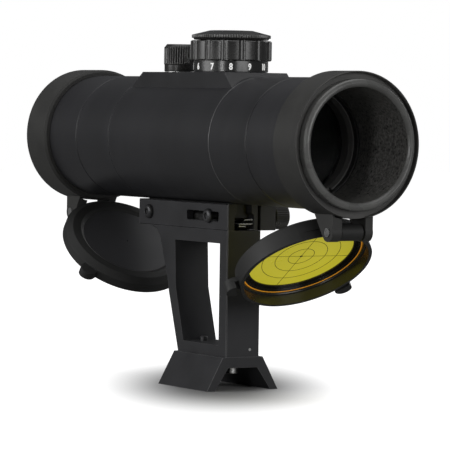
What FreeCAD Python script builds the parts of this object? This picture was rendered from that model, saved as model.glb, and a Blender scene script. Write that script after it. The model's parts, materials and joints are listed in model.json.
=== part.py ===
import FreeCAD, Part
import math
import os

# Unit-power finder scope with flip caps, on a quick-release bracket with a dovetail foot.
# Millimetres. +Y is the sight direction, +Z is up, the origin is the middle of the foot's underside.

V = FreeCAD.Vector
X, Y, Z = V(1, 0, 0), V(0, 1, 0), V(0, 0, 1)

# ---- driving dimensions -------------------------------------------------------------------------
AXIS_Z = 98.0          # height of the optical axis above the foot's underside
MID_Y = 7.75           # the tube's middle, along the sight direction
TUBE_R = 25.0          # outside of the tube
BORE_R = 21.5          # inside of the tube
CENTER_HALF = 39.7     # half length of the middle tube section
HOUSING_END = 66.8     # lens housings end here, from the tube's middle
TUBE_END = 108.1       # tip of each hood
SPIGOT_R = 23.0        # joints between the tube sections

SADDLE_HALF = 14.5     # turret saddle: half width
SADDLE_TOP = 124.6     # its flat top
DIAL_S = -14.3         # brightness dial, from the tube's middle
KNOB_S = 25.6          # elevation and windage knobs, from the tube's middle
KNOB_R = 6.4

RING_R = 27.5          # soft ring round each end of the tube
RING_BACK = 89.8
RING_FRONT = 106.0
HINGE_S = {-1: 100.6, 1: 99.6}   # near and far flip cap hinge: along the tube, and their height
HINGE_Z = 65.35
HINGE_R = 3.5
PIN_R = 1.2
NEAR_OPEN = 235.15     # how far each cap stands open, in degrees
FAR_OPEN = 231.7

FOOT_LEN = 38.0        # dovetail foot
FOOT_BOTTOM = 32.6
FOOT_TOP = 18.3
FOOT_H = 13.1
FRAME_HALF = 7.65      # bracket frame: half width
FRAME_TOP = 62.7

CLAMP_NEAR = MID_Y - 26.4   # clamp plates, along the sight direction
CLAMP_FAR = MID_Y + 43.9
CLAMP_TOP = 73.0
SCREW_Z = 68.1         # height of the clamp's screws
GAP = 0.3              # clearance between parts that move past each other
RUN = 0.05             # radial clearance of a running fit

os.makedirs("parts", exist_ok=True)


# ---- helpers ------------------------------------------------------------------------------------
def save(name, *solids):
    shape = solids[0] if len(solids) == 1 else Part.makeCompound(list(solids))
    shape.exportStep("parts/%s.step" % name)


def rod(start, direction, r, length):
    return Part.makeCylinder(r, length, V(*start), direction)


def block(low, high):
    return Part.makeBox(high[0] - low[0], high[1] - low[1], high[2] - low[2], V(*low))


def face(points):
    return Part.Face(Part.makePolygon([V(*p) for p in points + points[:1]]))


def along_tube(profile, side=1):
    """Turn a (radius, distance from the tube's middle) outline about the optical axis."""
    flat = face([(r, MID_Y + side * s, AXIS_Z) for r, s in profile])
    return flat.revolve(V(0, 0, AXIS_Z), Y, 360)


def upright(profile, s):
    """Turn a (radius, height) outline about a vertical axis over the tube."""
    return face([(r, MID_Y + s, z) for r, z in profile]).revolve(V(0, MID_Y + s, 0), Z, 360)


def across(profile, y, z):
    """Turn a (radius, x) outline about an axis that runs across the object."""
    return face([(x, y + r, z) for r, x in profile]).revolve(V(0, y, z), X, 360)


def slab_x(points, x0, x1):
    """A (y, z) outline with thickness from x0 to x1."""
    return face([(x0, y, z) for y, z in points]).extrude(V(x1 - x0, 0, 0))


def slab_y(points, y0, y1):
    """An (x, z) outline with thickness from y0 to y1."""
    return face([(x, y0, z) for x, z in points]).extrude(V(0, y1 - y0, 0))


def coil(start, direction, r, wire_r, length, turns):
    """A round-wire coil spring."""
    helix = Part.makeHelix(length / turns, length, r)
    ring = Part.Wire(Part.makeCircle(wire_r, V(r, 0, 0), V(0, 1, 0)))
    spring = Part.Wire(helix).makePipeShell([ring], True, True)
    spring.Placement = FreeCAD.Placement(V(*start), FreeCAD.Rotation(Z, direction))
    return spring


def soften(shape, size, wanted):
    """Chamfer the straight or round edges that the test picks."""
    return shape.makeChamfer(size, [e for e in shape.Edges if wanted(e.CenterOfMass)])


def at(s):
    return MID_Y + s


# ---- tube ---------------------------------------------------------------------------------------
center = along_tube([
    (24.75, -CENTER_HALF), (TUBE_R, -CENTER_HALF + 0.25), (TUBE_R, CENTER_HALF - 0.25),
    (24.75, CENTER_HALF), (SPIGOT_R, CENTER_HALF), (SPIGOT_R, 32.0), (BORE_R, 32.0),
    (BORE_R, -32.0), (SPIGOT_R, -32.0), (SPIGOT_R, -CENTER_HALF)])
saddle = slab_x([(at(-39.4), 112.0), (at(-39.4), 118.4), (at(-33.0), SADDLE_TOP),
                 (at(30.5), SADDLE_TOP), (at(39.4), 118.4), (at(39.4), 112.0)],
                -SADDLE_HALF, SADDLE_HALF)
saddle = soften(saddle, 0.5, lambda c: c.z > 118.5 and abs(c.x) > SADDLE_HALF - 0.1)
windage_boss = rod((20.0, at(KNOB_S), AXIS_Z), X, 8.0, 7.5)
hollow = rod((0, at(-40), AXIS_Z), Y, SPIGOT_R, 80.0)
center = center.fuse(saddle.cut(hollow)).fuse(windage_boss.cut(hollow))
tilt_axis_s = 6.0
for hole in (
        rod((0, at(KNOB_S), AXIS_Z + 18), Z, 1.5 + RUN, 12.0),
        rod((18, at(KNOB_S), AXIS_Z), X, 1.5 + RUN, 12.0),
        rod((0, at(DIAL_S), AXIS_Z + 18), Z, 1.3, 12.0),
        rod((0, at(DIAL_S), SADDLE_TOP - 1.6), Z, 9.0, 3.0),
        rod((0, at(DIAL_S) - 13.9, SADDLE_TOP - 3.8), Z, 0.85, 5.0),
        rod((-24, at(tilt_axis_s), AXIS_Z), X, 0.8, 48.0),
        rod((0, at(-5), 70.0), Z, 1.5, 6.3), rod((0, at(28), 70.0), Z, 1.5, 6.3)):
    center = center.cut(hole)
save("center_tube", center.removeSplitter())

housing = [(24.75, CENTER_HALF), (TUBE_R, CENTER_HALF + 0.25), (TUBE_R, HOUSING_END - 0.5),
           (24.5, HOUSING_END), (SPIGOT_R - 0.02, HOUSING_END), (SPIGOT_R - 0.02, 74.0),
           (21.0, 74.0), (21.0, 62.0), (19.8, 62.0), (19.8, 32.5), (SPIGOT_R - 0.02, 32.5),
           (SPIGOT_R - 0.02, CENTER_HALF)]
hood = [(24.6, HOUSING_END), (TUBE_R, HOUSING_END + 0.4), (TUBE_R, 102.9), (24.5, 102.9),
        (24.5, 107.4), (23.9, TUBE_END), (22.7, TUBE_END), (BORE_R, 106.4), (BORE_R, 74.5),
        (SPIGOT_R, 74.5), (SPIGOT_R, HOUSING_END)]
for name, side in (("objective", 1), ("eye", -1)):
    save(name + "_housing", along_tube(housing, side))
    save(name + "_hood", along_tube(hood, side))


def retainer(side, back):
    """Ring that screws in on a lens, with two slots for a spanner."""
    ring = along_tube([(20.96, back), (20.96, 71.5), (20.4, 71.5), (19.7, 69.5), (19.7, back)], side)
    for turn in (60, 240):
        slot = block((19.0, min(at(side * 70.0), at(side * 72.0)), AXIS_Z - 0.8),
                     (22.0, max(at(side * 70.0), at(side * 72.0)), AXIS_Z + 0.8))
        slot.rotate(V(0, 0, AXIS_Z), Y, turn)
        ring = ring.cut(slot)
    return ring


# Front lens: a weak meniscus that sends the dot back to the eye.
def bulged(r, s_edge, sag, thickness, side):
    """A lens of even thickness whose faces bulge by sag towards the tube's end."""
    def curve(s):
        return Part.Arc(V(0, at(side * (s + sag)), AXIS_Z),
                        V(r * 0.5, at(side * (s + sag * 0.75)), AXIS_Z),
                        V(r, at(side * s), AXIS_Z)).toShape()
    inner, outer = curve(s_edge), curve(s_edge + thickness)
    edge = Part.makeLine(V(r, at(side * s_edge), AXIS_Z), V(r, at(side * (s_edge + thickness)), AXIS_Z))
    middle = Part.makeLine(V(0, at(side * (s_edge + thickness + sag)), AXIS_Z),
                           V(0, at(side * (s_edge + sag)), AXIS_Z))
    outline = Part.Wire(Part.__sortEdges__([inner, edge, outer, middle]))
    return Part.Face(outline).revolve(V(0, 0, AXIS_Z), Y, 360)


save("objective_lens", bulged(20.9, 62.05, 1.2, 3.6, 1))
save("objective_retainer", retainer(1, 65.9))
save("eye_window", along_tube([(0, 62.05), (20.9, 62.05), (20.9, 65.0), (0, 65.0)], -1))
save("eye_retainer", retainer(-1, 65.05))
save("glare_stop", along_tube([(BORE_R - 0.02, 20.0), (BORE_R - 0.02, 22.0), (16.5, 21.0),
                               (16.5, 20.6)], -1))

# ---- red dot: emitter on a two-axis gimbal, pushed by the two adjusters --------------------------
pivot = (0, at(tilt_axis_s), AXIS_Z)
gimbal = along_tube([(17.7, 3.0), (20.6, 3.0), (20.6, 9.0), (17.7, 9.0)])
gimbal = gimbal.cut(rod((-24, pivot[1], AXIS_Z), X, 0.8 + RUN, 48.0))
gimbal = gimbal.cut(rod((0, pivot[1], AXIS_Z - 24), Z, 0.8, 48.0))
save("gimbal_ring", gimbal)
save("tilt_pins", rod((18.2, pivot[1], AXIS_Z), X, 0.8, 5.6), rod((-18.2, pivot[1], AXIS_Z), -X, 0.8, 5.6))
save("pan_pins", rod((0, pivot[1], AXIS_Z + 15.8), Z, 0.8, 4.6),
     rod((0, pivot[1], AXIS_Z - 15.8), -Z, 0.8, 4.6))
carrier = along_tube([(15.4, 2.0), (17.0, 2.0), (17.0, 31.0), (15.4, 31.0)])
led_block = block((-2.4, at(2.5), AXIS_Z + 10.6), (2.4, at(4.8), AXIS_Z + 16.0))
led_z = AXIS_Z + 12.6
carrier = carrier.fuse(led_block).cut(rod((0, pivot[1], AXIS_Z - 24), Z, 0.8 + RUN, 48.0))
carrier = carrier.cut(rod((0, at(2.0), led_z), Y, 1.2, 4.0))
save("emitter_carrier", carrier.removeSplitter())
save("led_emitter", rod((0, at(2.6), led_z), Y, 1.2, 2.8).fuse(Part.makeSphere(1.2, V(0, at(5.4), led_z))))
wire_path = Part.makePolygon([V(0, at(DIAL_S), 125.5), V(0, at(DIAL_S), 117.6), V(0, at(-1.0), 112.0),
                              V(0, at(2.1), 111.0)])
wire_end = Part.Wire(Part.makeCircle(0.45, V(0, at(DIAL_S), 125.5), Z))
save("led_wire", Part.Wire(wire_path.Edges).makePipeShell([wire_end], True, True, 1))
bow = slab_x([(at(12), AXIS_Z + 21.3), (at(16), AXIS_Z + 20.6), (at(20), AXIS_Z + 18.2),
              (at(22), AXIS_Z + 18.2), (at(26), AXIS_Z + 20.6), (at(30), AXIS_Z + 21.3),
              (at(30), AXIS_Z + 20.8), (at(26), AXIS_Z + 20.1), (at(22), AXIS_Z + 17.7),
              (at(20), AXIS_Z + 17.7), (at(16), AXIS_Z + 20.1), (at(12), AXIS_Z + 20.8)], -2.5, 2.5)
bow = bow.common(rod((0, at(0), AXIS_Z), Y, BORE_R - 0.02, 40.0))
bow.rotate(V(0, 0, AXIS_Z), Y, 225)
save("carrier_spring", bow)


def adjuster_knob():
    """Knurled knob, standing on z = 0, for a 3 mm screw."""
    outline = [(1.5, 1.05), (4.6, 1.05), (4.6, 0), (KNOB_R - 0.2, 0), (KNOB_R - 0.2, 2.6), (KNOB_R, 3.0),
               (KNOB_R, 9.6), (KNOB_R - 1.1, 11.0), (0, 11.0), (0, 6.0), (1.5, 6.0)]
    return face([(r, 0, z) for r, z in outline]).revolve(V(0, 0, 0), Z, 360)


def adjuster_screw():
    return rod((0, 0, -9.25), Z, 1.5, 15.2).fuse(Part.makeSphere(1.5, V(0, 0, -9.25))).common(
        block((-3, -3, -9.25), (3, 3, 8)))


def wave_washer():
    ring = rod((0, 0, 0), Z, 5.9, 0.28).fuse(rod((0, 0, 0), Z, 4.2, 0.5))
    return ring.cut(rod((0, 0, -1), Z, 2.0, 3)).removeSplitter()


up = FreeCAD.Placement(V(0, at(KNOB_S), SADDLE_TOP + 0.35), FreeCAD.Rotation())
out = FreeCAD.Placement(V(27.5 + 0.35, at(KNOB_S), AXIS_Z), FreeCAD.Rotation(Z, X))
for name, place in (("elevation", up), ("windage", out)):
    knob, screw = adjuster_knob(), adjuster_screw()
    knob.Placement = screw.Placement = place
    save(name + "_knob", knob)
    save(name + "_screw", screw)
washers = []
for place in (up, out):
    washer = wave_washer()
    washer.translate(V(0, 0, -0.35))
    washer.Placement = place.multiply(washer.Placement)
    washers.append(washer)
save("adjuster_washers", *washers)

# ---- dimmer: fixed stem, dial round it, battery on top -------------------------------------------
STEM_R, STEM_TOP, BOSS_R, BOSS_TOP = 13.0, 136.9, 11.6, 139.4
DIAL_BOTTOM, DIAL_TOP = 124.9, 137.1
stem = upright([(2.0, SADDLE_TOP - 1.6), (9.0, SADDLE_TOP - 1.6), (9.0, SADDLE_TOP), (14.5, SADDLE_TOP),
                (14.5, DIAL_BOTTOM - 0.06), (STEM_R, DIAL_BOTTOM - 0.06), (STEM_R, STEM_TOP),
                (BOSS_R, STEM_TOP), (BOSS_R, BOSS_TOP), (10.3, BOSS_TOP), (10.3, 134.1), (1.0, 134.1),
                (1.0, 133.1), (11.0, 133.1), (11.0, 126.0), (2.0, 126.0)], DIAL_S)
stem = stem.cut(rod((0, at(DIAL_S) - 13.9, SADDLE_TOP - 1), Z, 0.85, 3.0))
save("dimmer_base", stem)
board = upright([(2.2, 127.0), (10.8, 127.0), (10.8, 128.2), (2.2, 128.2)], DIAL_S)
chip = block((3.5, at(DIAL_S) - 2.5, 128.2), (8.0, at(DIAL_S) + 2.5, 129.6))
wiper = block((-8.0, at(DIAL_S) - 2.0, 128.2), (-4.0, at(DIAL_S) + 2.0, 130.8))
save("circuit_board", board.fuse(chip).fuse(wiper))
save("battery_contact", upright([(1.2, 135.2), (2.6, 135.2), (6.8, 134.15), (8.2, 134.15), (8.2, 134.4),
                                 (6.9, 134.4), (2.7, 135.45), (1.2, 135.45)], DIAL_S))
save("coin_battery", upright([(0, 135.5), (8.6, 135.5), (8.6, 135.9), (9.6, 136.1), (10.0, 136.4),
                              (10.0, 138.7), (0, 138.7)], DIAL_S))
FLUTES = 14
dial = upright([(STEM_R + 0.06, DIAL_BOTTOM), (14.7, DIAL_BOTTOM), (14.7, 129.2), (15.6, 129.2),
                (16.05, 129.6), (16.05, 136.7), (15.6, DIAL_TOP), (STEM_R + 0.06, DIAL_TOP)], DIAL_S)
flute = rod((0, at(DIAL_S) - 17.1, 129.4), Z, 1.9, 9.0)
for i in range(FLUTES):
    cutter = flute.copy()
    cutter.rotate(V(0, at(DIAL_S), 0), Z, -40.8 + 360.0 * i / FLUTES)
    dial = dial.cut(cutter)
save("brightness_dial", dial)
save("detent_spring", coil((0, at(DIAL_S) - 13.9, SADDLE_TOP - 3.5), Z, 0.55, 0.2, 1.8, 3.0))
save("detent_ball", Part.makeSphere(0.75, V(0, at(DIAL_S) - 13.9, SADDLE_TOP - 0.6)))
save("battery_cap", upright([
    (BOSS_R + 0.06, 137.4), (11.9, 137.4), (11.9, 138.0), (12.8, 138.0), (12.8, 137.4), (14.6, 137.4),
    (14.9, 138.0), (15.6, 138.15), (15.6, 139.3), (8.5, 141.1), (0, 141.1), (0, 139.8),
    (BOSS_R + 0.06, 139.8)], DIAL_S))
seal = Part.makeTorus(12.35, 0.32, V(0, at(DIAL_S), 137.66), Z)
save("battery_cap_seal", seal)


# ---- flip caps ----------------------------------------------------------------------------------
def cap_ring(side):
    """Soft ring on the end of the tube, with two hinge lugs below it."""
    ring = along_tube([(TUBE_R + 0.02, RING_BACK), (26.5, RING_BACK), (RING_R, RING_BACK + 0.7),
                       (RING_R, RING_FRONT - 0.3), (RING_R - 0.2, RING_FRONT), (27.15, RING_FRONT),
                       (26.85, RING_FRONT - 0.5), (26.85, 103.6), (24.52, 103.6), (24.52, 103.0),
                       (TUBE_R + 0.02, 103.0)], side)
    hinge = HINGE_S[side]
    lug = [(RING_BACK + 1.0, 73.0), (hinge - HINGE_R + 0.4, HINGE_Z - 1.8),
           (hinge - 2.0, HINGE_Z - 3.0), (hinge + 2.0, HINGE_Z - 3.0),
           (hinge + HINGE_R - 0.2, HINGE_Z - 1.0), (hinge + HINGE_R - 0.2, 75.0), (RING_BACK + 1.0, 75.0)]
    for x0, x1 in ((-9.4, -5.15), (5.3, 8.6)):
        piece = slab_x([(at(side * s), z) for s, z in lug], x0, x1)
        piece = piece.fuse(rod((x0, at(side * hinge), HINGE_Z), X, HINGE_R, x1 - x0))
        ring = ring.fuse(piece.cut(rod((0, at(side * 80), AXIS_Z), Y * side, 26.0, 40.0)))
    ring = ring.cut(rod((-12, at(side * hinge), HINGE_Z), X, PIN_R, 24.0))
    # the left lug is tied in along its outer side only; the cap's wall leaves through the front
    slit = along_tube([(RING_R, RING_BACK), (RING_R + 0.6, RING_BACK), (RING_R + 0.6, RING_FRONT),
                       (RING_R, RING_FRONT)], side)
    low, high = sorted((at(side * (RING_BACK - 1)), at(side * (RING_FRONT + 1))))
    ring = ring.cut(slit.common(block((-8.5, low, 68.0), (-4.0, high, 74.0))))
    low, high = sorted((at(side * 103.6), at(side * (RING_FRONT + 1))))
    if side < 0:
        ring = ring.cut(block((-5.1, low, 68.0), (5.2, high, 72.9)))
        # the lip is thinner at the bottom, where the swinging cap's edge passes
        ring = ring.cut(rod((0, at(-103.6), AXIS_Z - 0.25), -Y, 26.85, 4.0))
    return ring.removeSplitter()


def hinge_hardware(side):
    y = at(side * HINGE_S[side])
    pin = rod((-9.6, y, HINGE_Z), X, PIN_R, 18.6).fuse(rod((-9.8, y, HINGE_Z), X, 1.7, 0.4))
    spring = coil((-2.6, y, HINGE_Z), X, 1.9, 0.3, 5.6, 7.0)
    return pin, spring


def flip_cap(side, outline, wall_end, ear_span, ear_angle):
    """Closed cap about the optical axis: dish, two finger ears, hinge knuckle and its neck."""
    cap = along_tube([(r, RING_FRONT + s) for r, s in outline], side)
    y = at(side * HINGE_S[side])
    ear_face = sorted(at(side * (RING_FRONT + a)) for a in ear_span)
    # an ear that reaches back over the ring stands clear of it
    over_ring = rod((0, at(side * (RING_FRONT + 0.35)), AXIS_Z), -Y * side, RING_R + GAP, 9.0)
    for angle in (-ear_angle, ear_angle):
        ear = block((-3.4, ear_face[0], AXIS_Z + 25.2), (3.4, ear_face[1], AXIS_Z + 28.4))
        tip = rod((0, ear_face[0], AXIS_Z + 28.4), Y, 3.4, ear_face[1] - ear_face[0])
        ear = ear.fuse(tip)
        ear.rotate(V(0, 0, AXIS_Z), Y, angle)
        cap = cap.fuse(ear.cut(over_ring))
    knuckle = rod((-4.8, y, HINGE_Z), X, HINGE_R - 0.3, 9.4)
    reach = HINGE_S[side] + 1.0, RING_FRONT + 1.0, RING_FRONT + wall_end
    neck = slab_x([(at(side * s), z) for s, z in (
        (reach[0], HINGE_Z - 3.0), (reach[2], 72.6), (reach[2], 76.5), (reach[1], 76.5),
        (reach[1], 69.8), (reach[0] + 2.2, 68.0))], -4.8, 4.6)
    neck = neck.cut(rod((0, at(side * 100), AXIS_Z), Y * side, 25.2, 30.0))
    cap = cap.fuse(knuckle).fuse(neck)
    cap = cap.cut(rod((-12, y, HINGE_Z), X, PIN_R + RUN, 24.0))
    return cap.cut(rod((-2.9, y, HINGE_Z), X, 2.5, 6.2)).removeSplitter()


def swing(shape, side, angle):
    """Open a closed cap piece about its hinge."""
    shape.rotate(V(0, at(side * HINGE_S[side]), HINGE_Z), X, -side * angle)
    return shape


for name, side in (("near", -1), ("far", 1)):
    pin, spring = hinge_hardware(side)
    save(name + "_cap_ring", cap_ring(side))
    save(name + "_hinge_pin", pin)
    save(name + "_hinge_spring", spring)

# Near cap: a deep dish whose floor is a clear yellow screen for the sun's image.
SCREEN_S, SCREEN_R = 4.53, 23.9
near_outline = [(24.85, -2.1), (26.05, -2.1), (26.25, -1.9), (26.25, 5.1), (25.0, 6.1), (21.3, 6.1),
                (21.3, 5.55), (SCREEN_R + 0.05, 5.55), (SCREEN_R + 0.05, 2.9), (24.3, 2.2), (24.85, 2.0)]
near_cap = flip_cap(-1, near_outline, 4.4, (-2.2, 2.2), 60)
# the edge is relieved beside the hinge, so that it swings clear of the ring's lip
relief = rod((0, at(-103.5), AXIS_Z), -Y, 27.0, 3.4).cut(rod((0, at(-103.0), AXIS_Z + 6.3), -Y, 31.75, 5.0))
near_cap = near_cap.cut(relief.common(block((-20, at(-110), 66.0), (20, at(-100), 80.0))))
save("near_cap", swing(near_cap, -1, NEAR_OPEN))
screen = along_tube([(r, RING_FRONT + s) for r, s in (
    (0, SCREEN_S), (23.1, SCREEN_S), (23.1, 2.9), (SCREEN_R, 2.9), (SCREEN_R, 5.5), (0, 5.5))], -1)
bezel = along_tube([(r, RING_FRONT + s) for r, s in (
    (20.8, SCREEN_S - 0.6), (23.05, SCREEN_S - 0.6), (23.05, SCREEN_S), (20.8, SCREEN_S))], -1)
save("sun_screen", swing(screen, -1, NEAR_OPEN))
save("screen_bezel", swing(bezel, -1, NEAR_OPEN))

# Far cap: a shallow dish with a plain disc set in it, and a pinhole in the disc's middle.
far_outline = [(24.85, 0.35), (26.6, 0.35), (26.85, 0.6), (26.85, 4.4), (24.1, 6.3), (20.7, 6.3), (19.2, 5.4),
               (19.2, 4.2), (15.0, 4.2), (15.0, 3.2), (24.3, 3.2), (24.85, 2.6)]
save("far_cap", swing(flip_cap(1, far_outline, 4.3, (0.6, 3.9), 58), 1, FAR_OPEN))
disc = along_tube([(r, RING_FRONT + s) for r, s in ((0.4, 4.25), (19.15, 4.25), (19.15, 5.4), (0.4, 5.4))])
save("pinhole_disc", swing(disc, 1, FAR_OPEN))

# ---- rail under the tube -------------------------------------------------------------------------
RAIL_NEAR, RAIL_FAR = CLAMP_NEAR + 4.4, CLAMP_FAR - 0.4
rail = slab_y([(-4.2, 66.0), (4.2, 66.0), (4.2, 68.4), (3.2, 69.4), (3.2, 76.0), (-3.2, 76.0),
               (-3.2, 69.4), (-4.2, 68.4)], RAIL_NEAR, RAIL_FAR)
rail = rail.cut(rod((0, at(-60), AXIS_Z), Y, TUBE_R, 140.0))
# the near end of its foot is cut back above the leaf spring's tips
rail = rail.cut(block((-5, RAIL_NEAR - 1, 65.0), (5, RAIL_NEAR + 5.0, 67.5)))
stop_y = at(-12.2)
for s in (-5, 28):
    rail = rail.cut(rod((0, at(s), 66.0), Z, 1.5, 9.0)).cut(rod((0, at(s), 66.0), Z, 2.7, 2.8))
rail = rail.cut(rod((-6, stop_y, SCREW_Z), X, 1.6, 8.0))
save("tube_rail", rail)
save("rail_screws", *[rod((0, at(s), 67.0), Z, 2.6, 1.8).fuse(rod((0, at(s), 67.0), Z, 1.49, 9.2)).cut(
    rod((0, at(s), 66.9), Z, 1.2, 1.2)) for s in (-5, 28)])


def side_screw(y, tip_x):
    """Round-headed screw on the left face of the clamp."""
    head = across([(0, -9.6), (2.1, -9.6), (2.85, -9.0), (2.85, -8.0), (0, -8.0)], y, SCREW_Z)
    return head.fuse(rod((-8.3, y, SCREW_Z), X, 1.59, tip_x + 8.3))


save("slide_stop_screw", side_screw(stop_y, 1.8))

# ---- clamp --------------------------------------------------------------------------------------
plate = slab_y([(-FRAME_HALF, FRAME_TOP), (-4.6, FRAME_TOP), (-4.6, 68.75), (-3.6, 69.75),
                (-3.6, CLAMP_TOP), (-FRAME_HALF, CLAMP_TOP)], CLAMP_NEAR, CLAMP_FAR)
plate = soften(plate, 0.35, lambda c: c.x < -FRAME_HALF + 0.01)
slot_low, slot_high = at(-19.4), at(5.3)
slot = block((-9, slot_low, SCREW_Z - 2.1), (-3, slot_high, SCREW_Z + 1.8))
slot = slot.makeFillet(0.8, [e for e in slot.Edges if e.Length < 6.1 and abs(e.CenterOfMass.x + 6) < 0.1])
plate = plate.cut(slot)
friction_y = at(35.0)
plate = plate.cut(rod((-9, friction_y, SCREW_Z), X, 1.6, 8.0))
plate_screw_y = (at(-12.0), at(10.0))
for y in plate_screw_y:
    plate = plate.cut(rod((-6.0, y, FRAME_TOP - 1), Z, 0.9, 4.0))
save("left_clamp_plate", plate)
friction = across([(0, -9.5), (2.1, -9.5), (2.85, -9.0), (2.85, -FRAME_HALF), (0, -FRAME_HALF)],
                  friction_y, SCREW_Z)
save("friction_screw", friction.fuse(rod((-8.0, friction_y, SCREW_Z), X, 1.59, 3.45)))

KNOB_Y = at(-20.2)
BLOCK_OUT = 15.0
clamp_block = block((6.4, CLAMP_NEAR + 0.4, FRAME_TOP), (BLOCK_OUT, at(12.0), CLAMP_TOP))
clamp_block = soften(clamp_block, 0.5, lambda c: c.x > BLOCK_OUT - 0.01)
tab = block((FRAME_HALF, at(-9.0), 57.9), (FRAME_HALF + 3.0, at(11.0), FRAME_TOP + 1))
clamp_block = clamp_block.fuse(tab)
pocket = block((5.0, CLAMP_NEAR, FRAME_TOP - 0.01), (7.7, at(2.4), CLAMP_TOP + 0.1))
clamp_block = clamp_block.cut(pocket).cut(rod((4, KNOB_Y, SCREW_Z), X, 2.0 + RUN, 14.0))
guide_y = (at(-12.5), at(-2.5))
for y in guide_y:
    clamp_block = clamp_block.cut(rod((4, y, SCREW_Z), X, 1.0 + RUN, 9.0))
block_screw_y = (at(-5.0), at(7.0))
for y in block_screw_y:
    clamp_block = clamp_block.cut(rod((4, y, 60.3), X, 1.0, 8.0))
save("clamp_block", clamp_block.removeSplitter())
save("block_screws", *[rod((3.0, y, 60.3), X, 0.99, 7.7).fuse(rod((FRAME_HALF + 3.0, y, 60.3), X, 1.9, 1.3))
                       for y in block_screw_y])
jaw = slab_y([(4.5, FRAME_TOP + GAP), (6.2, FRAME_TOP + GAP), (6.2, CLAMP_TOP - 0.2), (3.5, CLAMP_TOP - 0.2),
              (3.5, 69.75), (4.5, 68.75)], CLAMP_NEAR + 0.4, at(2.0))
jaw = jaw.cut(rod((5.0, KNOB_Y, SCREW_Z), X, 2.0 + RUN, 3.0))
for y in guide_y:
    jaw = jaw.cut(rod((4.9, y, SCREW_Z), X, 1.0, 3.0))
save("clamp_jaw", jaw)
save("jaw_guide_pins", *[rod((4.9, y, SCREW_Z), X, 1.0, 6.6) for y in guide_y])
save("clamp_screw", rod((5.3, KNOB_Y, SCREW_Z), X, 2.0, 12.6))
save("clamp_knob", across([(2.0, 15.5), (5.0, 15.5), (5.3, 15.8), (5.3, 21.4), (4.7, 22.0), (0, 22.0),
                           (0, 17.95), (2.0, 17.95)], KNOB_Y, SCREW_Z))


def ribbon(points, thickness):
    """Outline of a bent strip, from the points along its underside."""
    return points + [(y, z + thickness) for y, z in reversed(points)]


# Strip spring of three leaves, joined at the far end, that lifts the rail against the clamp's lips.
leaf_near, leaf_far, leaf = CLAMP_NEAR + 0.6, at(34.0), 0.35
strip = block((-2.2, leaf_far - leaf, 62.75), (4.2, leaf_far, 65.0 + leaf))
for tip_z, low_z, rise, x0, x1 in ((64.2, 62.75, 0.3, -2.2, 1.0), (65.1, 63.8, 0.2, -2.2, 4.0),
                                   (66.8, 65.0, 0.2, 0.4, 4.2)):
    strip = strip.fuse(slab_x(ribbon([(leaf_near, tip_z), (leaf_near + 3.2, low_z), (at(6), low_z + rise),
                                      (leaf_far, low_z)], leaf), x0, x1))
save("rail_leaf_spring", strip.removeSplitter())

# ---- bracket and foot ----------------------------------------------------------------------------
NEAR_POST = at(-26.4)
outer = [(NEAR_POST, FOOT_H), (at(11.2), FOOT_H), (at(19.2), 36.8), (at(20.6), 42.8), (at(26.7), 58.2),
         (at(30.0), 61.2), (at(34.9), FRAME_TOP), (NEAR_POST, FRAME_TOP)]
window = [(at(-20.6), 17.4), (at(6.6), 17.4), (at(13.2), 38.4), (at(14.2), 57.5), (at(-20.6), 57.5)]
frame = slab_x(outer, -FRAME_HALF, FRAME_HALF)
frame = soften(frame, 0.4, lambda c: (abs(c.x) > FRAME_HALF - 0.01
                                      and FOOT_H + 0.1 < c.z < FRAME_TOP - 0.1))
frame = frame.cut(slab_x(window, -FRAME_HALF - 1, FRAME_HALF + 1))
bolt_y = (-10.1, 11.2)
for y in bolt_y:
    frame = frame.cut(rod((0, y, 10.0), Z, 1.5, 10.0))
for y in plate_screw_y:
    frame = frame.cut(rod((-6.0, y, 55.0), Z, 0.9, 9.0))
for y in block_screw_y:
    frame = frame.cut(rod((2.9, y, 60.3), X, 1.0, 6.0))
pin_at = (3.4, NEAR_POST, 15.9)
frame = frame.cut(rod(pin_at, Y, 0.6, 4.0))
save("bracket_frame", frame)
save("grub_screw", rod((pin_at[0], pin_at[1] + 0.2, pin_at[2]), Y, 0.59, 3.6))
save("plate_screws", *[rod((-6.0, y, 57.6), Z, 0.89, 7.6) for y in plate_screw_y])

half_b, half_t, half_l = FOOT_BOTTOM / 2, FOOT_TOP / 2, FOOT_LEN / 2
foot = slab_y([(-half_b, 0), (-half_t, FOOT_H), (half_t, FOOT_H), (half_b, 0), (half_b - 3.5, 0),
               (6.6, 8.9), (-6.6, 8.9), (-half_b + 3.5, 0)], -half_l, half_l)
for y in bolt_y:
    foot = foot.cut(rod((0, y, 5.0), Z, 1.5, 10.0))
save("dovetail_foot", foot)
save("foot_bolts", *[rod((0, y, 5.9), Z, 1.49, 13.3).fuse(rod((0, y, 5.9), Z, 2.75, 3.0)).cut(
    rod((0, y, 5.8), Z, 1.2, 1.7)) for y in bolt_y])
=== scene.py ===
import json
import math

import bmesh
import bpy
from mathutils import Matrix, Vector


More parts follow.
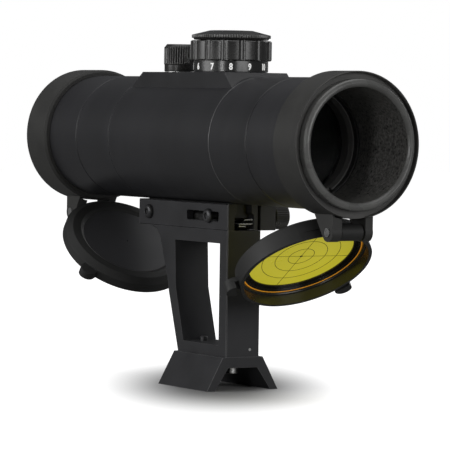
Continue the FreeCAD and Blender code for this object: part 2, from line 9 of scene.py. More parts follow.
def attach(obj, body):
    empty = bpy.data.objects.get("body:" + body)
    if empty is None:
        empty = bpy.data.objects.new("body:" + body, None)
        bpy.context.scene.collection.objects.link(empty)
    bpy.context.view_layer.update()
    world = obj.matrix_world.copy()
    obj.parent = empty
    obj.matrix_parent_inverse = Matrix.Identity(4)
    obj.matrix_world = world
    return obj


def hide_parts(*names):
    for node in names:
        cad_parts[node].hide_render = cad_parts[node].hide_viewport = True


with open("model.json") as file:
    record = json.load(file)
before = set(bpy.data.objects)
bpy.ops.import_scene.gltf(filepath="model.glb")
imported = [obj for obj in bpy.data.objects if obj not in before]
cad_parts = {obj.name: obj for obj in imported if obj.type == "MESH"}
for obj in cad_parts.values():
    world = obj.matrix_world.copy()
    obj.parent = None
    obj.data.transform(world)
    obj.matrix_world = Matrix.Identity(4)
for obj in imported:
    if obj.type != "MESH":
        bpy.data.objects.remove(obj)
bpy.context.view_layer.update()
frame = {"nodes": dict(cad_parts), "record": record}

# Lengths below are in millimetres, in the part's own frame, and become metres in piece().
MM = 0.001
AXIS_Z, MID_Y = 98.0, 7.75
TUBE_R, BORE_R = 25.0, 21.5
CENTER_HALF, HOUSING_END, TUBE_END = 39.7, 66.8, 108.1
SPIGOT_R, SPIGOT_FIT = 23.0, 22.98
SADDLE_HALF, SADDLE_TOP = 14.5, 124.6
DIAL_S, KNOB_S, KNOB_R = -14.3, 25.6, 6.4
RING_FRONT = 106.0
HINGE_S, HINGE_Z = {-1: 100.6, 1: 99.6}, 65.35
NEAR_OPEN = 235.15
SCREW_Z = 68.1
NODES = frame["nodes"]
BODY_OF = {n: b for b, names in frame["record"]["behaviour"]["bodies"].items() for n in names}
SLOT_OF = {s["node"]: s["material_slot"] for s in frame["record"]["subparts"]}


# ---- materials ----------------------------------------------------------------------------------
def material(name, dark, light, rough, rough_spread=0.08, metallic=0.0, specular=0.5, mottle=90.0,
             grain=2600.0, grain_mm=0.012, stretch=(1.0, 1.0, 1.0), coat=0.0, painted_glow=None):
    """A procedural finish: cloudy colour, uneven gloss and a fine grain in the surface; a given glow colour
    and strength make it glow as painted light.
    """
    mat = bpy.data.materials.new(name)
    mat.use_nodes = True
    tree = mat.node_tree
    shader = tree.nodes["Principled BSDF"]
    shader.inputs["Metallic"].default_value = metallic
    shader.inputs["Specular IOR Level"].default_value = specular
    shader.inputs["Coat Weight"].default_value = coat
    shader.inputs["Coat Roughness"].default_value = 0.12
    where = tree.nodes.new("ShaderNodeTexCoord")
    spread = tree.nodes.new("ShaderNodeMapping")
    spread.inputs["Scale"].default_value = stretch
    tree.links.new(where.outputs["Object"], spread.inputs["Vector"])
    cloud = tree.nodes.new("ShaderNodeTexNoise")
    cloud.inputs["Scale"].default_value = mottle
    cloud.inputs["Detail"].default_value = 5.0
    tree.links.new(spread.outputs["Vector"], cloud.inputs["Vector"])
    colours = tree.nodes.new("ShaderNodeValToRGB")
    colours.color_ramp.elements[0].position, colours.color_ramp.elements[1].position = 0.3, 0.7
    colours.color_ramp.elements[0].color = (*dark, 1.0)
    colours.color_ramp.elements[1].color = (*light, 1.0)
    tree.links.new(cloud.outputs["Fac"], colours.inputs["Fac"])
    tree.links.new(colours.outputs["Color"], shader.inputs["Base Color"])
    gloss = tree.nodes.new("ShaderNodeMapRange")
    gloss.inputs["From Min"].default_value, gloss.inputs["From Max"].default_value = 0.3, 0.7
    gloss.inputs["To Min"].default_value = rough - rough_spread / 2
    gloss.inputs["To Max"].default_value = rough + rough_spread / 2
    tree.links.new(cloud.outputs["Fac"], gloss.inputs["Value"])
    tree.links.new(gloss.outputs["Result"], shader.inputs["Roughness"])
    fine = tree.nodes.new("ShaderNodeTexNoise")
    fine.inputs["Scale"].default_value = grain
    fine.inputs["Detail"].default_value = 3.0
    tree.links.new(spread.outputs["Vector"], fine.inputs["Vector"])
    bump = tree.nodes.new("ShaderNodeBump")
    bump.inputs["Strength"].default_value = 0.6
    bump.inputs["Distance"].default_value = grain_mm * MM
    tree.links.new(fine.outputs["Fac"], bump.inputs["Height"])
    tree.links.new(bump.outputs["Normal"], shader.inputs["Normal"])
    if painted_glow:
        shader.inputs["Emission Color"].default_value = (*painted_glow[0], 1.0)
        shader.inputs["Emission Strength"].default_value = painted_glow[1]
    return mat


def clear(name, color, rough, transmission, ior):
    """A see-through finish."""
    mat = material(name, color, color, rough, 0.01, mottle=60.0, grain=500.0, grain_mm=0.0005)
    shader = mat.node_tree.nodes["Principled BSDF"]
    shader.inputs["Transmission Weight"].default_value = transmission
    shader.inputs["IOR"].default_value = ior
    return mat


M = {
    "anodised": material("anodised_satin", (0.017, 0.017, 0.0185), (0.024, 0.024, 0.0265), 0.46,
                         grain=3200, grain_mm=0.010),
    "turned": material("anodised_turned", (0.017, 0.017, 0.019), (0.024, 0.024, 0.027), 0.44, 0.06,
                       mottle=60, grain=2200, grain_mm=0.008, stretch=(0.25, 1.6, 0.25)),
    "milled": material("anodised_milled", (0.022, 0.022, 0.024), (0.031, 0.031, 0.034), 0.5,
                       grain=2600, grain_mm=0.012),
    # Lighter finish for the hood's end and the battery cap's knurl crests: partly bare metal, and on the
    # hood's end partly a painted highlight.
    "rim": material("anodised_rim_and_painted_sheen", (0.10, 0.10, 0.096), (0.16, 0.16, 0.154), 0.28, 0.1,
                    grain=2400, grain_mm=0.012, stretch=(1, 2, 1)),
    "knurl": material("anodised_knurl", (0.02, 0.02, 0.02), (0.032, 0.031, 0.029), 0.27, 0.08,
                      specular=0.8, grain=3000, grain_mm=0.006),
    # Flat black: the tube's real black inside, and painted shade on the rail, which sits in the shade of its
    # slot.
    "inner_black": material("flat_black", (0.010, 0.010, 0.010), (0.018, 0.018, 0.017), 0.42, 0.2,
                            mottle=700, grain=1300, grain_mm=0.06),
    "bore_black": material("bore_black", (0.026, 0.026, 0.025), (0.23, 0.225, 0.212), 0.36, 0.2,
                           mottle=1100, grain=1500, grain_mm=0.06),
    "soft_black": material("moulded_ring", (0.028, 0.0275, 0.026), (0.038, 0.0375, 0.035), 0.55, 0.1,
                           grain=1900, grain_mm=0.018),
    "cap_black": material("moulded_cap", (0.016, 0.016, 0.0155), (0.022, 0.022, 0.021), 0.58, 0.08,
                          grain=2400, grain_mm=0.010),
    # A lighter copy of the anodising for broken edges and seam chamfers: a painted highlight, standing in for
    # light caught on the bevels.
    "painted_edge_highlight": material("anodised_edge_painted_highlight", (0.09, 0.09, 0.092), (0.15, 0.15, 0.153), 0.3, 0.1,
                          grain=2600, grain_mm=0.008),
    # A lighter copy of the moulded ring's black: painted light on the ring's shaded front recess and on the
    # eye retainer.
    "ring_face_painted_light": material("moulded_ring_face", (0.07, 0.069, 0.066), (0.10, 0.098, 0.094), 0.5, 0.1,
                          grain=1900, grain_mm=0.018),
    "cap_gloss": material("moulded_cap_inside", (0.013, 0.013, 0.012), (0.019, 0.019, 0.017), 0.24, 0.08,
                          grain=1500, grain_mm=0.006),
    "disc_grey": material("disc_satin", (0.038, 0.038, 0.041), (0.049, 0.049, 0.053), 0.5, 0.1,
                          grain=2000, grain_mm=0.008),
    # The screen and its raised edge glow: painted light, as neither is a lamp.
    "screen": material("sun_screen_acrylic", (0.60, 0.54, 0.012), (0.68, 0.62, 0.018), 0.3, 0.06,
                       mottle=40, grain=1200, grain_mm=0.003, painted_glow=((0.72, 0.64, 0.05), 0.45)),
    "screen_edge": material("sun_screen_edge", (0.9, 0.32, 0.01), (1.0, 0.42, 0.015), 0.25, 0.05,
                            grain=900, grain_mm=0.004, painted_glow=((1.0, 0.40, 0.03), 0.3)),
    "screen_line": material("engraved_line", (0.10, 0.09, 0.005), (0.15, 0.135, 0.008), 0.6,
                            grain=3000, grain_mm=0.01),
    "bezel": material("gloss_bezel", (0.010, 0.009, 0.007), (0.016, 0.014, 0.010), 0.2, 0.06,
                      grain=1800, grain_mm=0.004),
    "steel": material("plain_steel", (0.50, 0.50, 0.49), (0.62, 0.62, 0.61), 0.28, 0.12, metallic=1.0,
                      grain=2600, grain_mm=0.008),
    "dark_steel": material("blackened_steel", (0.05, 0.05, 0.052), (0.085, 0.085, 0.088), 0.36, 0.1,
                           metallic=0.6, grain=2400, grain_mm=0.01),
    "led": material("led_red", (0.55, 0.02, 0.015), (0.65, 0.03, 0.02), 0.15, grain=900, grain_mm=0.002),
    "board": material("laminate_green", (0.02, 0.12, 0.05), (0.03, 0.17, 0.07), 0.4, grain=2000),
    "battery": material("nickel_plate", (0.62, 0.61, 0.58), (0.72, 0.71, 0.68), 0.22, metallic=1.0,
                        grain=1800, grain_mm=0.006),
    "wire": material("wire_red", (0.42, 0.03, 0.02), (0.5, 0.04, 0.03), 0.4, grain=1500),
    "seal": material("seal_rubber", (0.012, 0.012, 0.012), (0.018, 0.018, 0.018), 0.6, grain=1800),
    # The white fill glows a little: painted light, to keep the numbers white.
    "numeral": material("white_fill", (0.84, 0.84, 0.83), (0.92, 0.92, 0.91), 0.5, grain=2600,
                        painted_glow=((1.0, 1.0, 0.98), 0.4)),
    "band": material("polished_band", (0.016, 0.016, 0.016), (0.024, 0.024, 0.023), 0.24, 0.08, specular=0.9,
                     grain=2400, grain_mm=0.006),
    "lens": clear("coated_glass", (0.86, 0.93, 0.95), 0.02, 1.0, 1.5),
}
# Nodes whose finish isn't the one that their material slot names.
# The eye retainer takes the lighter ring finish, painted light.
NODE_FINISH = {"battery_cap": "knurl", "eye_retainer": "ring_face_painted_light", "clamp_jaw": "milled",
               # The rail takes the flat black as painted shade, for the dark of the slot it sits in.
               "clamp_block": "milled", "tube_rail": "inner_black", "bracket_frame": "milled",
               "left_clamp_plate": "milled", "dovetail_foot": "milled"}


# ---- shapes -------------------------------------------------------------------------------------
def at(s):
    """Distance along the tube from its middle, as the part's own Y."""
    return MID_Y + s


def frame_along(side):
    """Local +Z runs along the tube towards that end, from the tube's middle."""
    return Matrix.Translation((0, MID_Y, AXIS_Z)) @ Matrix.Rotation(-side * math.pi / 2, 4, "X")


def frame_upright(s):
    """Local +Z runs straight up, over a point along the tube."""
    return Matrix.Translation((0, at(s), 0))


def frame_across(y, z, x=0.0):
    """Local +Z runs to the right of the object."""
    return Matrix.Translation((x, y, z)) @ Matrix(((0, 0, 1, 0), (1, 0, 0, 0), (0, 1, 0, 0), (0, 0, 0, 1)))


def opened(side, angle):
    """Swings a closed flip cap about its hinge, to where it stands at rest."""
    hinge = Matrix.Translation((0, at(side * HINGE_S[side]), HINGE_Z))
    return hinge @ Matrix.Rotation(math.radians(-side * angle), 4, "X") @ hinge.inverted()


def rounded(outline, radius, steps=3):
    """The outline with its corners rounded off."""
    points, count = [Vector(p) for p in outline], len(outline)
    made = []
    for i, p in enumerate(points):
        back, ahead = points[i - 1] - p, points[(i + 1) % count] - p
        if p.x < 1e-6 or back.angle(ahead) > math.radians(172):
            made.append(p)
            continue
        reach = min(radius, back.length * 0.45, ahead.length * 0.45)
        start, end = p + back.normalized() * reach, p + ahead.normalized() * reach
        for k in range(steps + 1):
            t = k / steps
            made.append(start.lerp(p, t).lerp(p.lerp(end, t), t))
    return made


def lathe(bm, outline, place, segments=192, radius=0.15, shape=None):
    """Turns a closed (radius, along) outline about local +Z; shape(angle, r, along) may vary the radius."""
    rings = []
    for r, a in rounded(outline, radius):
        if r < 1e-6:
            rings.append([bm.verts.new(place @ Vector((0, 0, a)))])
            continue
        ring = []
        for j in range(segments):
            t = 2 * math.pi * j / segments
            q = shape(t, r, a) if shape else r
            ring.append(bm.verts.new(place @ Vector((q * math.cos(t), q * math.sin(t), a))))
        rings.append(ring)
    for one, two in zip(rings, rings[1:] + rings[:1]):
        if len(one) == 1 and len(two) == 1:
            continue
        for j in range(segments):
            k = (j + 1) % segments
            corners = [one[j % len(one)], one[k % len(one)], two[k % len(two)], two[j % len(two)]]
            bm.faces.new([v for n, v in enumerate(corners) if v not in corners[:n]])


def prism(bm, outline, place, low, high):
    """A flat outline given thickness along local +Z."""
    floor = [bm.verts.new(place @ Vector((x, y, low))) for x, y in outline]
    roof = [bm.verts.new(place @ Vector((x, y, high))) for x, y in outline]
    bm.faces.new(floor[::-1])
    bm.faces.new(roof)
    for j in range(len(outline)):
        k = (j + 1) % len(outline)
        bm.faces.new([floor[j], floor[k], roof[k], roof[j]])


def ridge(t, teeth):
    """Where the angle t lies in a straight knurl: 0 on a crest and 1 in a groove."""
    return abs(((t * teeth / (2 * math.pi)) % 1.0) - 0.5) * 2


def bevel(bm, width, angle=28, segments=2, wanted=None):
    """Breaks the edges sharper than the angle, and gives back the new faces."""
    edges = [e for e in bm.edges if e.is_manifold and e.calc_face_angle(0) > math.radians(angle)
             and (wanted is None or wanted((e.verts[0].co + e.verts[1].co) / 2))]
    return bmesh.ops.bevel(bm, geom=edges, offset=width, segments=segments, profile=0.6, affect="EDGES",
                           clamp_overlap=True)["faces"]


def piece(name, bm, finish, body, slot=None, replaces=(), sharp=40, paint=None, also=()):
    """Makes the mesh an object that rides on a body. paint(centre, normal) picks a finish by its number."""
    bmesh.ops.recalc_face_normals(bm, faces=bm.faces)
    if paint:
        for f in bm.faces:
            f.material_index = paint(f.calc_center_median(), f.normal)
    for v in bm.verts:
        v.co *= MM
    for e in bm.edges:
        e.smooth = not e.is_manifold or e.calc_face_angle(0) < math.radians(sharp)
    for f in bm.faces:
        f.smooth = True
    mesh = bpy.data.meshes.new(name)
    bm.to_mesh(mesh)
    bm.free()
    obj = bpy.data.objects.new(name, mesh)
    bpy.context.scene.collection.objects.link(obj)
    for key in (finish, *also):
        mesh.materials.append(M[key])
    even = obj.modifiers.new("even_shading", "WEIGHTED_NORMAL")
    even.keep_sharp = True
    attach(obj, body)
    if replaces:
        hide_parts(*replaces)
    return obj


def refine(node, name, width, finish=None, segments=2, bright_edges=False, **more):
    """The CAD node's shape with its edges broken, as a piece that stands for it."""
    bm = bmesh.new()
    bm.from_mesh(NODES[node].data)
    for v in bm.verts:
        v.co /= MM
    bmesh.ops.remove_doubles(bm, verts=bm.verts, dist=0.002)
    bmesh.ops.dissolve_limit(bm, angle_limit=math.radians(0.4), verts=bm.verts, edges=bm.edges)
    bmesh.ops.recalc_face_normals(bm, faces=bm.faces)
    # With bright_edges the new bevel faces take the lighter edge finish, a painted highlight.
    for f in bevel(bm, width, segments=segments):
        f.material_index = int(bright_edges)
    if bright_edges:
        more["also"] = ("painted_edge_highlight",)
    return piece(name, bm, finish or NODE_FINISH.get(node, SLOT_OF[node]), BODY_OF[node], SLOT_OF[node],
                 (node,), **more)


# ---- camera, light and floor --------------------------------------------------------------------
CAMERA_AT, CAMERA_LENS = (-655.36, -1087.38, 115.96), 256.138
CAMERA_AZIMUTH, CAMERA_ELEVATION, CAMERA_ROLL = -31.168, 2.335, 0.864


def camera():
    azimuth, elevation, roll = (math.radians(v) for v in (CAMERA_AZIMUTH, CAMERA_ELEVATION, CAMERA_ROLL))
    back = Vector((math.sin(azimuth) * math.cos(elevation), -math.cos(azimuth) * math.cos(elevation),
                   math.sin(elevation)))
    right = Vector((math.cos(azimuth), math.sin(azimuth), 0))
    up = back.cross(right)
    right, up = right * math.cos(roll) + up * math.sin(roll), up * math.cos(roll) - right * math.sin(roll)
    cam = bpy.data.objects.new("camera", bpy.data.cameras.new("camera"))
    cam.matrix_world = Matrix.Translation(Vector(CAMERA_AT) * MM) @ Matrix(
        (right, up, back)).transposed().to_4x4()
    cam.data.sensor_width, cam.data.lens = 36.0, CAMERA_LENS
    cam.data.clip_start, cam.data.clip_end = 0.05, 50.0
    bpy.context.scene.collection.objects.link(cam)
    bpy.context.scene.camera = cam


def soft_light(name, place, aim, size, power):
    data = bpy.data.lights.new(name, "AREA")
    data.shape, data.size, data.size_y = "RECTANGLE", size[0], size[1]
    data.energy = power
    light = bpy.data.objects.new(name, data)
    light.location = place
    light.rotation_mode = "QUATERNION"
    light.rotation_quaternion = (Vector(aim) - Vector(place)).to_track_quat("-Z", "Y")
    bpy.context.scene.collection.objects.link(light)


def camera_only(tree, seen, otherwise):
    """Mixes what the camera sees with what lights the object."""
    path = tree.nodes.new("ShaderNodeLightPath")
    mix = tree.nodes.new("ShaderNodeMixShader")
    tree.links.new(path.outputs["Is Camera Ray"], mix.inputs["Fac"])
    tree.links.new(otherwise.outputs[0], mix.inputs[1])
    tree.links.new(seen.outputs[0], mix.inputs[2])
    return mix


def backdrop():
    """A white world for the camera, and a dim one for the light on the object."""
    world = bpy.data.worlds.new("studio")
    bpy.context.scene.world = world
    world.use_nodes = True
    tree = world.node_tree
    tree.nodes.clear()
    white, dim = tree.nodes.new("ShaderNodeBackground"), tree.nodes.new("ShaderNodeBackground")
    white.inputs["Color"].default_value, white.inputs["Strength"].default_value = (1, 1, 1, 1), 1.0
    dim.inputs["Color"].default_value, dim.inputs["Strength"].default_value = (0.95, 0.97, 1, 1), 0.1
    out = tree.nodes.new("ShaderNodeOutputWorld")
    tree.links.new(camera_only(tree, white, dim).outputs[0], out.inputs["Surface"])


def pale_floor():
    # In metres: half the floor's side, its thickness and how far it lies under the foot, then the painted
    # soft shadow's middle and its reach across and along its length, which is turned from the tube's by so
    # many degrees. The painted shadow is full inside the core and gone at the rim, as parts of that reach.
    half, thick, below = 3, 0.02, 0.0001
    shadow_at, shadow_reach, shadow_turn = (0.0030, 0.004, 0), (0.050, 0.128, 1), -31.2
    shadow_core, shadow_rim = 0.25, 1.12
    bm = bmesh.new()
    prism(bm, [(-half, -half), (half, -half), (half, half), (-half, half)], Matrix.Identity(4),
          -thick, -below)
    mesh = bpy.data.meshes.new("floor")
    bm.to_mesh(mesh)
    bm.free()
    floor = bpy.data.objects.new("floor", mesh)
    bpy.context.scene.collection.objects.link(floor)
    paper = bpy.data.materials.new("pale_floor")
    paper.use_nodes = True
    tree = paper.node_tree
    tree.nodes.clear()
    lit, glow, both = (tree.nodes.new("ShaderNode" + k) for k in ("BsdfDiffuse", "Emission", "AddShader"))
    lit.inputs["Color"].default_value = (0.36, 0.36, 0.36, 1)
    # The paper glows white away from the object; the glow fades out in an ellipse round the foot, which
    # leaves the grey lit diffuse there as a painted soft shadow.
    where, turn, reach, rise = (tree.nodes.new("ShaderNode" + k) for k in
                                ("TexCoord", "Mapping", "VectorMath", "MapRange"))
    turn.vector_type = "TEXTURE"
    turn.inputs["Location"].default_value = shadow_at
    turn.inputs["Rotation"].default_value = (0, 0, math.radians(shadow_turn))
    turn.inputs["Scale"].default_value = shadow_reach
    reach.operation = "LENGTH"
    rise.interpolation_type = "SMOOTHSTEP"
    rise.inputs["From Min"].default_value, rise.inputs["From Max"].default_value = shadow_core, shadow_rim
    tree.links.new(where.outputs["Object"], turn.inputs["Vector"])
    tree.links.new(turn.outputs["Vector"], reach.inputs[0])
    tree.links.new(reach.outputs["Value"], rise.inputs["Value"])
    tree.links.new(rise.outputs["Result"], glow.inputs["Strength"])
    tree.links.new(lit.outputs[0], both.inputs[0])
    tree.links.new(glow.outputs[0], both.inputs[1])
    dark = tree.nodes.new("ShaderNodeBsdfDiffuse")
    dark.inputs["Color"].default_value = (0.25, 0.25, 0.25, 1)
    out = tree.nodes.new("ShaderNodeOutputMaterial")
    tree.links.new(camera_only(tree, both, dark).outputs[0], out.inputs["Surface"])
    mesh.materials.append(paper)


def lights():
    middle = (0, 0, 0.085)
    soft_light("left_key", (-1.3, 0.4, 0.42), middle, (0.9, 0.7), 7.0)
    soft_light("top_soft", (0.1, 0.1, 1.5), (0, 0, 0), (1.6, 1.6), 10.0)
    soft_light("edge_strip", (-1.5, -0.92, 0.2), middle, (0.16, 0.9), 5.0)
    soft_light("front_fill", (0.15, -1.7, 0.45), middle, (1.1, 0.8), 8.5)
    soft_light("right_back", (1.2, 0.5, 0.5), middle, (0.6, 0.6), 2.5)
    bpy.context.scene.view_settings.view_transform = "Standard"


# ---- tube ---------------------------------------------------------------------------------------
def tube():
    seam_r, counterbore = 24.78, 32.0
    inner = lambda c, n: int(math.hypot(c.x, c.z - AXIS_Z) < 22.9)
    bm = bmesh.new()
    lathe(bm, [(seam_r, -CENTER_HALF), (TUBE_R, -CENTER_HALF + 0.22), (TUBE_R, CENTER_HALF - 0.22),
               (seam_r, CENTER_HALF), (SPIGOT_R, CENTER_HALF), (SPIGOT_R, counterbore), (BORE_R, counterbore),
               (BORE_R, -counterbore), (SPIGOT_R, -counterbore), (SPIGOT_R, -CENTER_HALF)],
          frame_along(1), 256)
    lathe(bm, [(8.0, 24.0), (8.0, 27.5), (3.4, 27.5), (3.4, 24.0)], frame_across(at(KNOB_S), AXIS_Z), 96, 0.3)
    # The middle section's outward end faces, its seam chamfers, take the lighter edge finish as a painted
    # highlight.
    zones = lambda c, n: 2 if abs(c.y - MID_Y) > 39.45 and n.y * (c.y - MID_Y) > 0 else inner(c, n)
    piece("tube_middle", bm, "turned", "tube", "anodised", ("center_tube",), paint=zones,
          also=("inner_black", "painted_edge_highlight"))

    # Saddle: a flat-topped block blended into the tube, its ends sloped off.
    bm = bmesh.new()
    end_s, end_z, sunk_r, steps = 39.4, 118.4, 23.9, 14
    top = [(-end_s, end_z), (-33.0, SADDLE_TOP), (30.5, SADDLE_TOP), (end_s, end_z)]
    rows = []
    for s, height in top:
        low = [SADDLE_HALF - 2 * SADDLE_HALF * k / steps for k in range(steps + 1)]
        row = [(-SADDLE_HALF, height), (SADDLE_HALF, height)]
        row += [(x, AXIS_Z + math.sqrt(sunk_r ** 2 - x * x)) for x in low]
        rows.append([bm.verts.new((x, at(s), z)) for x, z in row])
    for one, two in zip(rows, rows[1:]):
        for j in range(len(one)):
            k = (j + 1) % len(one)
            bm.faces.new([one[j], one[k], two[k], two[j]])
    bm.faces.new(rows[0])
    bm.faces.new(rows[-1][::-1])
    bmesh.ops.recalc_face_normals(bm, faces=bm.faces)
    bevel(bm, 0.5, 24, 3, lambda c: c.z > end_z + 0.2)
    piece("turret_saddle", bm, "anodised", "tube", "anodised")

    for word, side in (("far", 1), ("near", -1)):
        cad = "objective" if side > 0 else "eye"
        bm = bmesh.new()
        lathe(bm, [(seam_r, CENTER_HALF), (TUBE_R, CENTER_HALF + 0.22), (TUBE_R, HOUSING_END - 0.45),
                   (24.55, HOUSING_END), (SPIGOT_FIT, HOUSING_END), (SPIGOT_FIT, 74.0), (21.0, 74.0),
                   (21.0, 62.0), (19.8, 62.0), (19.8, 32.5), (SPIGOT_FIT, 32.5), (SPIGOT_FIT, CENTER_HALF)],
              frame_along(side), 256, 0.1)
        piece(word + "_housing_tube", bm, "turned", "tube", "anodised", (cad + "_housing",), paint=inner,
              also=("inner_black",))
        bm = bmesh.new()
        lathe(bm, [(24.6, HOUSING_END), (TUBE_R, HOUSING_END + 0.4), (TUBE_R, 102.9), (24.5, 102.9),
                   (24.5, 107.0), (24.1, 107.6), (23.4, 108.0), (22.8, TUBE_END), (22.2, 107.75),
                   (21.65, 107.1), (BORE_R, 106.7),
                   (BORE_R, 74.5), (SPIGOT_R, 74.5), (SPIGOT_R, HOUSING_END)], frame_along(side), 256, 0.16)
        # The hood's end takes the lighter rim finish, partly a painted highlight.
        where = lambda c, n: (2 if abs(c.y - MID_Y) > 103.5 and math.hypot(c.x, c.z - AXIS_Z) > 21.55
                              else int(math.hypot(c.x, c.z - AXIS_Z) < 22.4))
        piece(word + "_hood_tube", bm, "turned", "tube", "anodised", (cad + "_hood",), paint=where,
              also=("bore_black", "rim"))


def knobs():
    # Elevation and windage: fine straight knurl between a smooth band and a chamfer.
    outline = [(1.5, 1.05), (4.6, 1.05), (4.6, 0), (6.2, 0), (6.2, 2.6), (KNOB_R, 3.0), (KNOB_R, 3.1),
               (KNOB_R, 3.4), (KNOB_R, 9.2), (KNOB_R, 9.5), (KNOB_R, 9.6), (5.3, 11.0), (0, 11.0), (0, 6.0),
               (1.5, 6.0)]
    teeth, depth, start, end, fade_over, clearance = 38, 0.42, 2.95, 9.75, 0.35, 0.35

    def knurl(t, r, a):
        if r < KNOB_R - 0.25 or not start < a < end:
            return r
        fade = min(1.0, (a - start) / fade_over, (end - a) / fade_over)
        return r - depth * max(0.0, ridge(t, teeth) - 0.25) / 0.75 * max(0.0, fade)

    up = Matrix.Translation((0, at(KNOB_S), SADDLE_TOP + clearance))
    out = frame_across(at(KNOB_S), AXIS_Z, 27.5 + clearance)
    for word, place in (("elevation", up), ("windage", out)):
        bm = bmesh.new()
        lathe(bm, outline, place, teeth * 8, 0.12, knurl)
        piece(word + "_adjuster_cap", bm, "knurl", word + "_adjuster", "anodised", (word + "_knob",),
              sharp=70)


def dimmer():
    # Dial: smooth numbered band below, and fourteen round flutes cut down through the grip.
    place = frame_upright(DIAL_S)
    stem_r, band_r, band_top, low, high = 13.06, 14.7, 129.2, 124.9, 137.1
    flutes, cut_r, cut_at = 14, 1.9, 17.1
    first = math.radians(-90 - 40.8)

    def depth(t, r, a):
        if r < 14.9 or a < 129.38:
            return r
        step = 2 * math.pi / flutes
        off = (t - first + step / 2) % step - step / 2
        reach = cut_at * math.sin(abs(off))
        if reach >= cut_r:
            return r
        return min(r, cut_at * math.cos(off) - math.sqrt(cut_r ** 2 - reach ** 2))

    bm = bmesh.new()
    lathe(bm, [(stem_r, low), (band_r, low), (band_r, band_top), (15.6, band_top), (16.05, 129.6),
               (16.05, 136.7), (15.6, high), (stem_r, high)], place, flutes * 40, 0.12, depth)
    band = lambda c, n: int(c.z < 129.25)
    piece("dimmer_dial_grip", bm, "knurl", "dial", "anodised", ("brightness_dial",), sharp=32, paint=band,
          also=("band",))

    # Numbers 0 to 11, filled white with a painted glow, bent round the band; the 8 faces the camera.
    digit_size, digit_raise, digit_bold, digit_z, narrow, spacing = 3.5, 0.04, 0.11, 126.75, 0.8, 0.92
    step_angle, angle_of_8, longest_edge = 30, -121.2, 0.6
    bm = bmesh.new()
    for number in range(12):
        text = bpy.data.curves.new("number", "FONT")
        text.body, text.size, text.align_x, text.align_y = str(number), digit_size, "CENTER", "CENTER"
        text.extrude, text.offset, text.resolution_u = digit_raise, digit_bold, 4
        text.space_character = spacing
        holder = bpy.data.objects.new("number", text)
        bpy.context.scene.collection.objects.link(holder)
        bpy.context.view_layer.update()
        flat = bpy.data.meshes.new_from_object(holder)
        one = bmesh.new()
        one.from_mesh(flat)
        bmesh.ops.remove_doubles(one, verts=one.verts, dist=1e-4)
        for _ in range(2):
            long_edges = [e for e in one.edges if e.calc_length() > longest_edge]
            bmesh.ops.subdivide_edges(one, edges=long_edges, cuts=1)
        bmesh.ops.triangulate(one, faces=one.faces)
        middle = math.radians(angle_of_8 + (number - 8) * step_angle)
        for v in one.verts:
            turn, r = middle + narrow * v.co.x / band_r, 14.73 + v.co.z
            v.co = place @ Vector((r * math.cos(turn), r * math.sin(turn), digit_z + v.co.y))
        one.to_mesh(flat)
        one.free()
        bm.from_mesh(flat)
        bpy.data.objects.remove(holder)
    piece("dial_numbers", bm, "numeral", "dial", sharp=30)

    # Battery cap: a low cone with a finely knurled rim.
    teeth = 92

    def ridges(t, r, a):
        if r < 15.1 or not 137.9 < a < 139.5:
            return r
        return r - 0.4 * (0.5 + 0.5 * math.cos(teeth * t)) * min(1.0, (r - 15.1) / 0.4)

    bm = bmesh.new()
    lathe(bm, [(11.66, 137.4), (11.9, 137.4), (11.9, 138.0), (12.8, 138.0), (12.8, 137.4), (14.6, 137.4),
               (14.9, 138.0), (15.6, 138.15), (15.6, 139.3), (14.9, 139.48), (8.5, 141.1), (0, 141.1),
               (0, 139.8), (11.66, 139.8)], place, teeth * 6, 0.12, ridges)
    crest = lambda c, n: int(math.hypot(c.x, c.y - at(DIAL_S)) > 15.25 and 138.1 < c.z < 139.45)
    piece("battery_cap_cone", bm, "knurl", "battery_cap", "anodised", ("battery_cap",), sharp=50, paint=crest,
          also=("rim",))


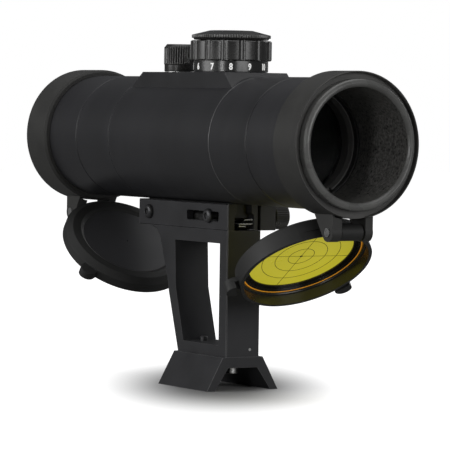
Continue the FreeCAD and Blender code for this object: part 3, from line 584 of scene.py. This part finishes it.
# ---- flip caps ----------------------------------------------------------------------------------
def caps():
    # The faces in the ring's front recess take the lighter ring finish, painted light in that shaded recess.
    painted_light_recess = lambda c, n: int(abs(c.y - MID_Y) > 103.4 and c.z > 70.4
                              and math.hypot(c.x, c.z - AXIS_Z) < 27.3)
    for word, side in (("near", -1), ("far", 1)):
        refine(word + "_cap_ring", word + "_soft_ring", 0.28, "soft_black", 3, paint=painted_light_recess,
               also=("ring_face_painted_light",))
    to_screen = (opened(-1, NEAR_OPEN) @ frame_along(-1)).inverted()

    def inside(c, n):
        spot = to_screen @ c
        return int(math.hypot(spot.x, spot.y) < 25.0 and spot.z < RING_FRONT + 5.5)

    refine("near_cap", "near_cap_dish", 0.25, "cap_black", 2, paint=inside, also=("cap_gloss",))
    refine("far_cap", "far_cap_dish", 0.25, "cap_black", 2)
    refine("pinhole_disc", "pinhole_plate", 0.1, "disc_grey", 2)

    # The screen, its raised edge and black ring, and the lines cut in it.
    screen_r, circle_radii, line_half, line_width_half = 23.1, (5.25, 10.5, 15.75), 20.8, 0.09
    place = opened(-1, NEAR_OPEN) @ frame_along(-1) @ Matrix.Translation((0, 0, RING_FRONT))
    bm = bmesh.new()
    lathe(bm, [(0, 4.53), (screen_r, 4.53), (screen_r, 5.5), (0, 5.5)], place, 192, 0.1)
    piece("screen_plate", bm, "screen", "near_cap", "screen", ("sun_screen",))
    bm = bmesh.new()
    lathe(bm, [(23.45, 2.9), (23.88, 2.9), (23.88, 5.48), (23.45, 5.48)], place, 192, 0.12)
    piece("screen_raised_edge", bm, "screen_edge", "near_cap", "screen")
    bm = bmesh.new()
    lathe(bm, [(20.8, 3.93), (23.05, 3.93), (23.05, 2.95), (23.42, 2.95), (23.42, 5.45), (23.12, 5.45),
               (23.12, 4.51), (20.8, 4.51)], place, 192, 0.12)
    piece("screen_black_ring", bm, "bezel", "near_cap", "bezel", ("screen_bezel",))
    bm = bmesh.new()
    for r in circle_radii:
        lathe(bm, [(r - 0.1, 4.47), (r + 0.1, 4.47), (r + 0.1, 4.55), (r - 0.1, 4.55)], place, 128, 0.01)
    for turn in (0, 90):
        flat = place @ Matrix.Rotation(math.radians(turn), 4, "Z")
        prism(bm, [(-line_half, -line_width_half), (line_half, -line_width_half),
                   (line_half, line_width_half), (-line_half, line_width_half)], flat, 4.48, 4.54)
    lathe(bm, [(0, 4.45), (0.55, 4.45), (0.55, 4.56), (0, 4.56)], place, 32, 0.02)
    piece("screen_engraving", bm, "screen_line", "near_cap", "screen")


# ---- clamp, bracket and foot --------------------------------------------------------------------
def clamp_and_bracket():
    # The frame, plate, foot and block get a painted highlight on their broken edges.
    refine("bracket_frame", "bracket_body", 0.3, bright_edges=True)
    refine("left_clamp_plate", "left_plate", 0.25, bright_edges=True)
    refine("dovetail_foot", "foot_dovetail", 0.35, bright_edges=True)
    refine("clamp_block", "right_block", 0.25, bright_edges=True)
    refine("tube_rail", "rail_bar", 0.2)
    refine("rail_leaf_spring", "leaf_strip", 0.06, "steel", 1)

    def button(name, y, x0, under, node):
        """Domed screw head with a hexagon socket, down to x = under."""
        bm = bmesh.new()
        depth = under - x0
        profile = [(0, 0.8), (1.2, 0.8), (1.2, 0.05), (1.9, 0.1), (2.5, 0.45), (2.85, 0.95), (2.85, depth),
                   (1.59, depth), (1.59, 5.0), (0, 5.0)]

        def hexed(t, r, a):
            if r > 1.25 or a > 0.85 or r < 0.5:
                return r
            return r * 0.92 / math.cos((t + math.pi / 6) % (math.pi / 3) - math.pi / 6)

        lathe(bm, profile, frame_across(y, SCREW_Z, x0), 96, 0.14, hexed)
        piece(name, bm, "dark_steel", BODY_OF[node], "dark_steel", (node,), sharp=50)

    button("friction_screw_button", at(35.0), -9.5, -7.65, "friction_screw")
    button("stop_screw_button", at(-12.2), -9.6, -8.0, "slide_stop_screw")

    # Foot bolts: bright heads under the foot's web, the dark ends of their shanks in the window.
    bm = bmesh.new()
    for y in (-10.1, 11.2):
        lathe(bm, [(0, 7.5), (1.2, 7.5), (1.2, 5.95), (2.5, 5.95), (2.7, 6.2), (2.7, 8.88), (1.48, 8.88),
                   (1.48, 18.9), (1.2, 19.2), (0, 19.2)], Matrix.Translation((0, y, 0)), 72, 0.12)
    piece("foot_bolt_pair", bm, "steel", BODY_OF["foot_bolts"], "steel", ("foot_bolts",),
          paint=lambda c, n: int(c.z > 9.5), also=("dark_steel",))

    teeth = 44

    def knurl(t, r, a):
        if r < 4.6 or not 15.6 < a < 21.6:
            return r
        return r - 0.3 * max(0.0, ridge(t, teeth) - 0.2) / 0.8

    bm = bmesh.new()
    lathe(bm, [(2.0, 15.5), (5.0, 15.5), (5.3, 15.8), (5.3, 21.4), (4.7, 22.0), (0, 22.0), (0, 17.95),
               (2.0, 17.95)], frame_across(at(-20.2), SCREW_Z), teeth * 6, 0.15, knurl)
    piece("clamp_thumb_knob", bm, "knurl", "clamp_knob", "anodised", ("clamp_knob",), sharp=60)


# ---- everything else keeps its CAD shape and gets its finish -------------------------------------
def finish_cad_nodes():
    for node, obj in NODES.items():
        if obj.hide_render:
            continue
        obj.data.materials.clear()
        obj.data.materials.append(M[NODE_FINISH.get(node, SLOT_OF[node])])


camera()
backdrop()
pale_floor()
lights()
tube()
knobs()
dimmer()
caps()
clamp_and_bracket()
finish_cad_nodes()
